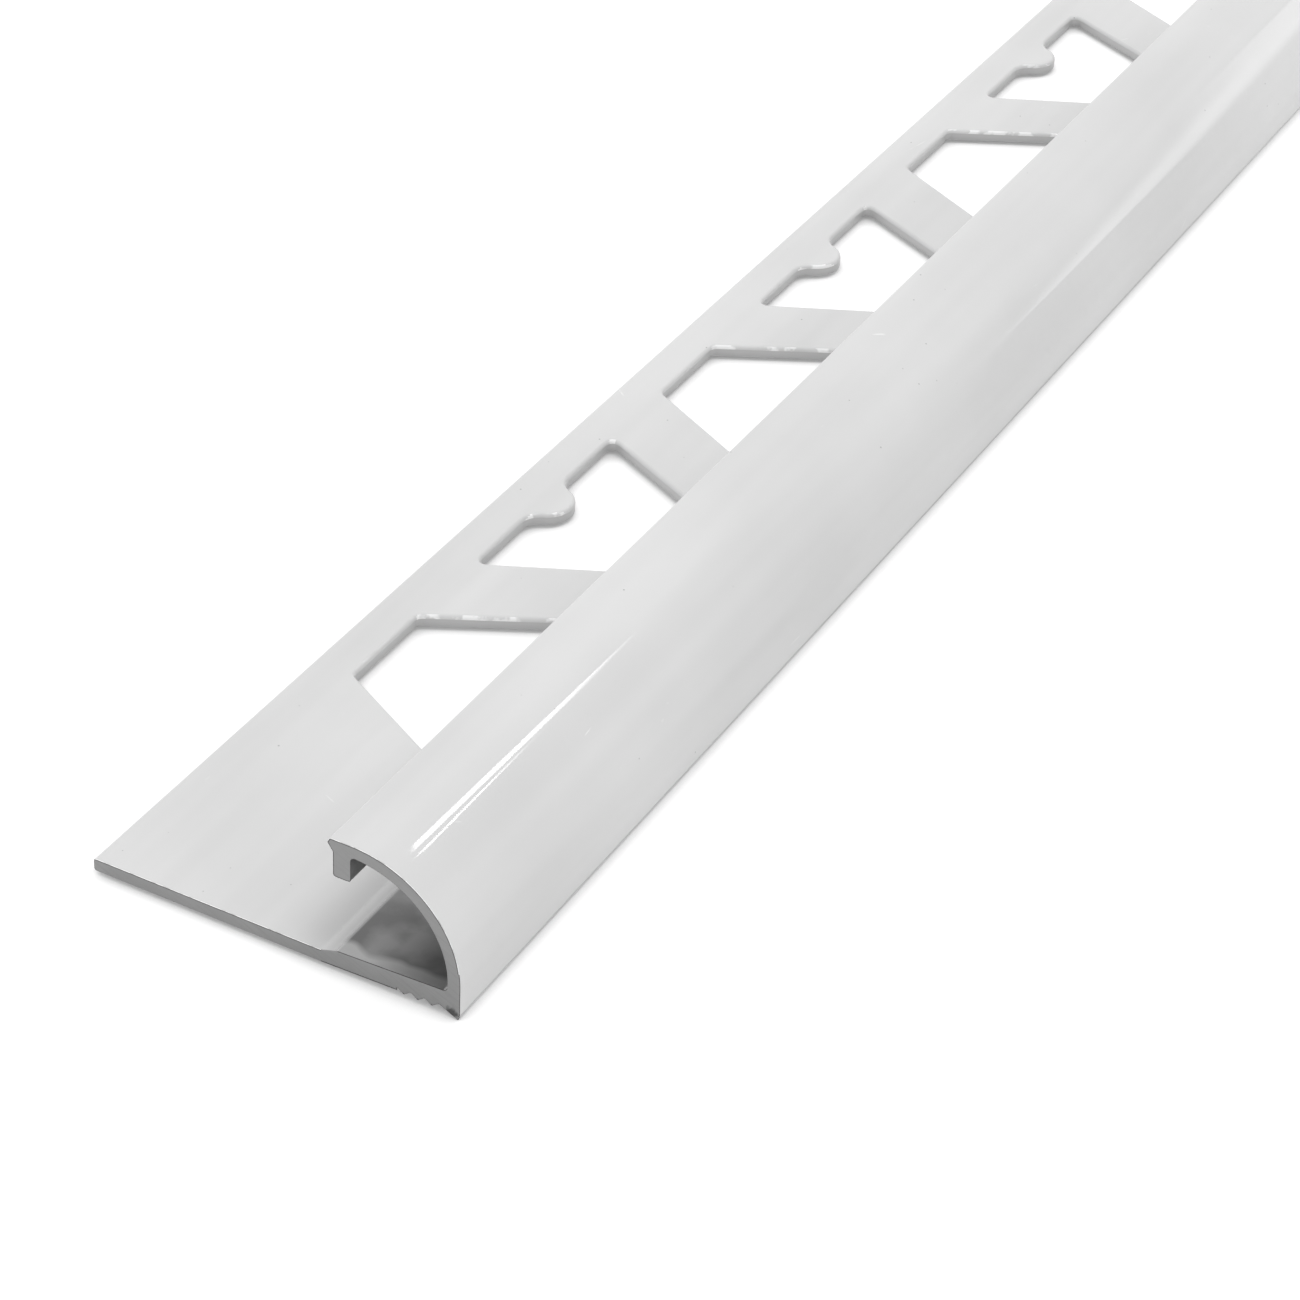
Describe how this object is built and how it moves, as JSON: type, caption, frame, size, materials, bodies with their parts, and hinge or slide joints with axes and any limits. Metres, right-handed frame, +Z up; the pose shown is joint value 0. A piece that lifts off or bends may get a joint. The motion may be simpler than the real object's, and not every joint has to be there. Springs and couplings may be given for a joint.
{
  "type": "tile trim",
  "caption": "Round-edge aluminium tile trim: a quarter-round white nose with a hooked lip, on a thin flat leg punched with alternating trapezoid anchoring holes.",
  "frame": {"origin": "under the middle of the length and width, level with the drip edge, which is the lowest line of the part", "axes": "+X along the length, +Y towards the free edge of the punched leg, +Z up, through the thickness of the tile"},
  "size_m": [1, 0.0272, 0.0103],
  "materials": {
    "coated_aluminium": "gloss white powder coating on extruded aluminium, bare grey metal on the sawn ends"
  },
  "bodies": {
    "root": {"trim_profile": "coated_aluminium"}
  },
  "joints": []
}
